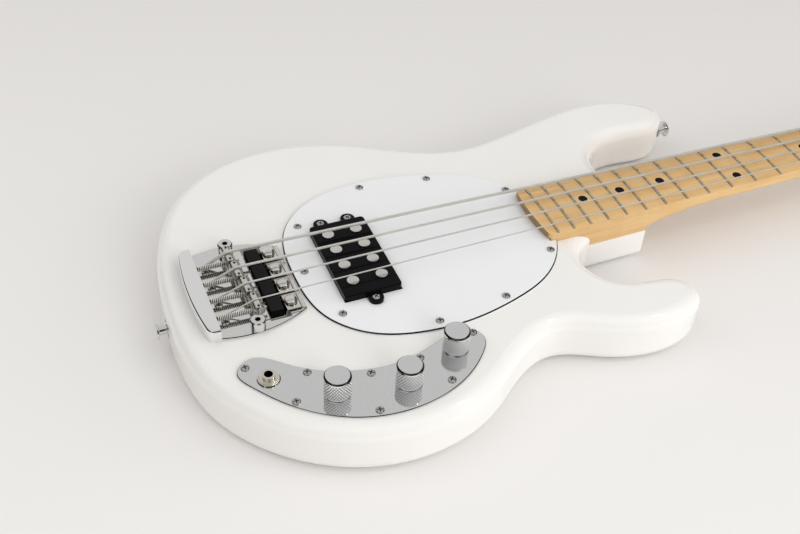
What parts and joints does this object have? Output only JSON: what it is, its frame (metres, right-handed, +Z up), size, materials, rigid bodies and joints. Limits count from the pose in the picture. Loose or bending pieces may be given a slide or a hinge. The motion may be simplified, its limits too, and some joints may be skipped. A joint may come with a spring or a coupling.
{
  "type": "electric bass guitar",
  "caption": "Solid-body electric bass with a bolt-on maple neck, large pickup, bowed control plate and a bridge with sprung barrel saddles and string mutes.",
  "frame": {"origin": "on the flat back, on the centre line, under the line where the scale length ends at the saddles", "axes": "+X along the strings from the saddles to the nut, +Y to the bass side, +Z up from the back to the strings"},
  "size_m": [1.149, 0.347, 0.065],
  "materials": {
    "body_paint": "gloss white lacquer over solid wood",
    "maple": "satin amber lacquer",
    "nickel": "satin nickel plating",
    "chrome": "polished",
    "steel": "plain",
    "guard_laminate": "gloss white over a black core",
    "black_plastic": "gloss",
    "bone_white": "satin",
    "coil_wire": "enamelled copper",
    "board_resin": "plain",
    "battery_case": "plain",
    "string_wire": "round wound",
    "pad_rubber": "matte foam rubber"
  },
  "bodies": {
    "bass_body": {"body": "body_paint", "neck": "maple", "fretboard": "maple", "frets": "nickel", "position_markers": "black_plastic", "nut": "bone_white", "truss_rod": "steel", "neck_plate": "chrome", "neck_screws": "steel", "pickguard": "guard_laminate", "plate_screws": "chrome", "pickup_cover": "black_plastic", "pickup_poles": "nickel", "pickup_coils": "coil_wire", "control_plate": "chrome", "potentiometers": "steel", "output_jack": "chrome", "preamp_board": "board_resin", "battery": "battery_case", "bridge_plate": "chrome", "bridge_bolts": "chrome", "bridge_screws": "chrome", "strap_buttons": "chrome", "string_retainer": "chrome", "headstock_screws": "chrome", "tuner_housings": "chrome", "tuner_bushings": "chrome", "intonation_springs": "steel", "mute_springs": "nickel", "string_1": "string_wire", "string_2": "string_wire", "string_3": "string_wire", "string_4": "string_wire"},
    "volume_knob_body": {"volume_knob": "chrome"},
    "treble_knob_body": {"treble_knob": "chrome"},
    "bass_knob_body": {"bass_knob": "chrome"},
    "saddle_1_body": {"saddle_1": "nickel"},
    "intonation_screw_1_body": {"intonation_screw_1": "steel"},
    "mute_pad_1_body": {"mute_pad_1": "pad_rubber"},
    "mute_screw_1_body": {"mute_screw_1": "nickel"},
    "tuner_key_1_body": {"tuner_key_1": "chrome"},
    "tuner_post_1_body": {"tuner_post_1": "chrome"},
    "saddle_2_body": {"saddle_2": "nickel"},
    "intonation_screw_2_body": {"intonation_screw_2": "steel"},
    "mute_pad_2_body": {"mute_pad_2": "pad_rubber"},
    "mute_screw_2_body": {"mute_screw_2": "nickel"},
    "tuner_key_2_body": {"tuner_key_2": "chrome"},
    "tuner_post_2_body": {"tuner_post_2": "chrome"},
    "saddle_3_body": {"saddle_3": "nickel"},
    "intonation_screw_3_body": {"intonation_screw_3": "steel"},
    "mute_pad_3_body": {"mute_pad_3": "pad_rubber"},
    "mute_screw_3_body": {"mute_screw_3": "nickel"},
    "tuner_key_3_body": {"tuner_key_3": "chrome"},
    "tuner_post_3_body": {"tuner_post_3": "chrome"},
    "saddle_4_body": {"saddle_4": "nickel"},
    "intonation_screw_4_body": {"intonation_screw_4": "steel"},
    "mute_pad_4_body": {"mute_pad_4": "pad_rubber"},
    "mute_screw_4_body": {"mute_screw_4": "nickel"},
    "tuner_key_4_body": {"tuner_key_4": "chrome"},
    "tuner_post_4_body": {"tuner_post_4": "chrome"}
  },
  "joints": [
    {"name": "volume_knob_turn", "type": "hinge", "parent": "bass_body", "child": "volume_knob_body", "pos_m": [0.02866, -0.1258, 0.0465], "axis": [0, 0, 1], "range_deg": [-150, 150]},
    {"name": "treble_knob_turn", "type": "hinge", "parent": "bass_body", "child": "treble_knob_body", "pos_m": [0.08022, -0.134, 0.0465], "axis": [0, 0, 1], "range_deg": [-150, 150]},
    {"name": "bass_knob_turn", "type": "hinge", "parent": "bass_body", "child": "bass_knob_body", "pos_m": [0.12573, -0.11456, 0.0465], "axis": [0, 0, 1], "range_deg": [-150, 150]},
    {"name": "intonation_screw_1_turn", "type": "hinge", "parent": "bass_body", "child": "intonation_screw_1_body", "pos_m": [-0.033, 0.02575, 0.0516], "axis": [1, 0, 0], "range_deg": [-1805, 1805]},
    {"name": "saddle_1_slide", "type": "slide", "parent": "bass_body", "child": "saddle_1_body", "axis": [1, 0, 0], "range_m": [-0.0035, 0.0035], "deforming": ["intonation_springs", "string_1"]},
    {"name": "intonation_screw_2_turn", "type": "hinge", "parent": "bass_body", "child": "intonation_screw_2_body", "pos_m": [-0.033, 0.00645, 0.0516], "axis": [1, 0, 0], "range_deg": [-1805, 1805]},
    {"name": "saddle_2_slide", "type": "slide", "parent": "bass_body", "child": "saddle_2_body", "axis": [1, 0, 0], "range_m": [-0.0035, 0.0035], "deforming": ["intonation_springs", "string_2"]},
    {"name": "intonation_screw_3_turn", "type": "hinge", "parent": "bass_body", "child": "intonation_screw_3_body", "pos_m": [-0.033, -0.01285, 0.0516], "axis": [1, 0, 0], "range_deg": [-1805, 1805]},
    {"name": "saddle_3_slide", "type": "slide", "parent": "bass_body", "child": "saddle_3_body", "axis": [1, 0, 0], "range_m": [-0.0035, 0.0035], "deforming": ["intonation_springs", "string_3"]},
    {"name": "intonation_screw_4_turn", "type": "hinge", "parent": "bass_body", "child": "intonation_screw_4_body", "pos_m": [-0.033, -0.03215, 0.0516], "axis": [1, 0, 0], "range_deg": [-1805, 1805]},
    {"name": "saddle_4_slide", "type": "slide", "parent": "bass_body", "child": "saddle_4_body", "axis": [1, 0, 0], "range_m": [-0.0035, 0.0035], "deforming": ["intonation_springs", "string_4"]},
    {"name": "mute_screw_1_lift", "type": "slide", "parent": "bass_body", "child": "mute_screw_1_body", "axis": [0, 0, 1], "range_m": [0, 0.00442]},
    {"name": "mute_pad_1_swing", "type": "hinge", "parent": "bass_body", "child": "mute_pad_1_body", "pos_m": [0.0345, 0.02895, 0.047], "axis": [0, 1, 0], "range_deg": [0, 17], "deforming": ["mute_springs"]},
    {"name": "mute_screw_2_lift", "type": "slide", "parent": "bass_body", "child": "mute_screw_2_body", "axis": [0, 0, 1], "range_m": [0, 0.00442]},
    {"name": "mute_pad_2_swing", "type": "hinge", "parent": "bass_body", "child": "mute_pad_2_body", "pos_m": [0.0345, 0.00965, 0.047], "axis": [0, 1, 0], "range_deg": [0, 17], "deforming": ["mute_springs"]},
    {"name": "mute_screw_3_lift", "type": "slide", "parent": "bass_body", "child": "mute_screw_3_body", "axis": [0, 0, 1], "range_m": [0, 0.00442]},
    {"name": "mute_pad_3_swing", "type": "hinge", "parent": "bass_body", "child": "mute_pad_3_body", "pos_m": [0.0345, -0.00965, 0.047], "axis": [0, 1, 0], "range_deg": [0, 17], "deforming": ["mute_springs"]},
    {"name": "mute_screw_4_lift", "type": "slide", "parent": "bass_body", "child": "mute_screw_4_body", "axis": [0, 0, 1], "range_m": [0, 0.00442]},
    {"name": "mute_pad_4_swing", "type": "hinge", "parent": "bass_body", "child": "mute_pad_4_body", "pos_m": [0.0345, -0.02895, 0.047], "axis": [0, 1, 0], "range_deg": [0, 17], "deforming": ["mute_springs"]},
    {"name": "tuner_key_1_turn", "type": "hinge", "parent": "bass_body", "child": "tuner_key_1_body", "pos_m": [0.9355, 0.058, 0.0253], "axis": [0, 1, 0], "continuous": true},
    {"name": "tuner_post_1_turn", "type": "hinge", "parent": "bass_body", "child": "tuner_post_1_body", "pos_m": [0.925, 0.028, 0.04], "axis": [0, 0, 1], "continuous": true},
    {"name": "tuner_key_2_turn", "type": "hinge", "parent": "bass_body", "child": "tuner_key_2_body", "pos_m": [1.0155, 0.055, 0.0253], "axis": [0, 1, 0], "continuous": true},
    {"name": "tuner_post_2_turn", "type": "hinge", "parent": "bass_body", "child": "tuner_post_2_body", "pos_m": [1.005, 0.025, 0.04], "axis": [0, 0, 1], "continuous": true},
    {"name": "tuner_key_3_turn", "type": "hinge", "parent": "bass_body", "child": "tuner_key_3_body", "pos_m": [1.0155, -0.055, 0.0253], "axis": [0, -1, 0], "continuous": true},
    {"name": "tuner_post_3_turn", "type": "hinge", "parent": "bass_body", "child": "tuner_post_3_body", "pos_m": [1.005, -0.025, 0.04], "axis": [0, 0, 1], "continuous": true},
    {"name": "tuner_key_4_turn", "type": "hinge", "parent": "bass_body", "child": "tuner_key_4_body", "pos_m": [0.9355, -0.058, 0.0253], "axis": [0, -1, 0], "continuous": true},
    {"name": "tuner_post_4_turn", "type": "hinge", "parent": "bass_body", "child": "tuner_post_4_body", "pos_m": [0.925, -0.028, 0.04], "axis": [0, 0, 1], "continuous": true}
  ],
  "couplings": [
    {"joint": "intonation_screw_1_turn", "follows": "saddle_1_slide", "rad_per_m": -8976},
    {"joint": "intonation_screw_2_turn", "follows": "saddle_2_slide", "rad_per_m": -8976},
    {"joint": "intonation_screw_3_turn", "follows": "saddle_3_slide", "rad_per_m": -8976},
    {"joint": "intonation_screw_4_turn", "follows": "saddle_4_slide", "rad_per_m": -8976},
    {"joint": "mute_pad_1_swing", "follows": "mute_screw_1_lift", "rad_per_m": 67.1},
    {"joint": "mute_pad_2_swing", "follows": "mute_screw_2_lift", "rad_per_m": 67.1},
    {"joint": "mute_pad_3_swing", "follows": "mute_screw_3_lift", "rad_per_m": 67.1},
    {"joint": "mute_pad_4_swing", "follows": "mute_screw_4_lift", "rad_per_m": 67.1},
    {"joint": "tuner_post_1_turn", "follows": "tuner_key_1_turn", "ratio": 0.05},
    {"joint": "tuner_post_2_turn", "follows": "tuner_key_2_turn", "ratio": 0.05},
    {"joint": "tuner_post_3_turn", "follows": "tuner_key_3_turn", "ratio": 0.05},
    {"joint": "tuner_post_4_turn", "follows": "tuner_key_4_turn", "ratio": 0.05}
  ]
}
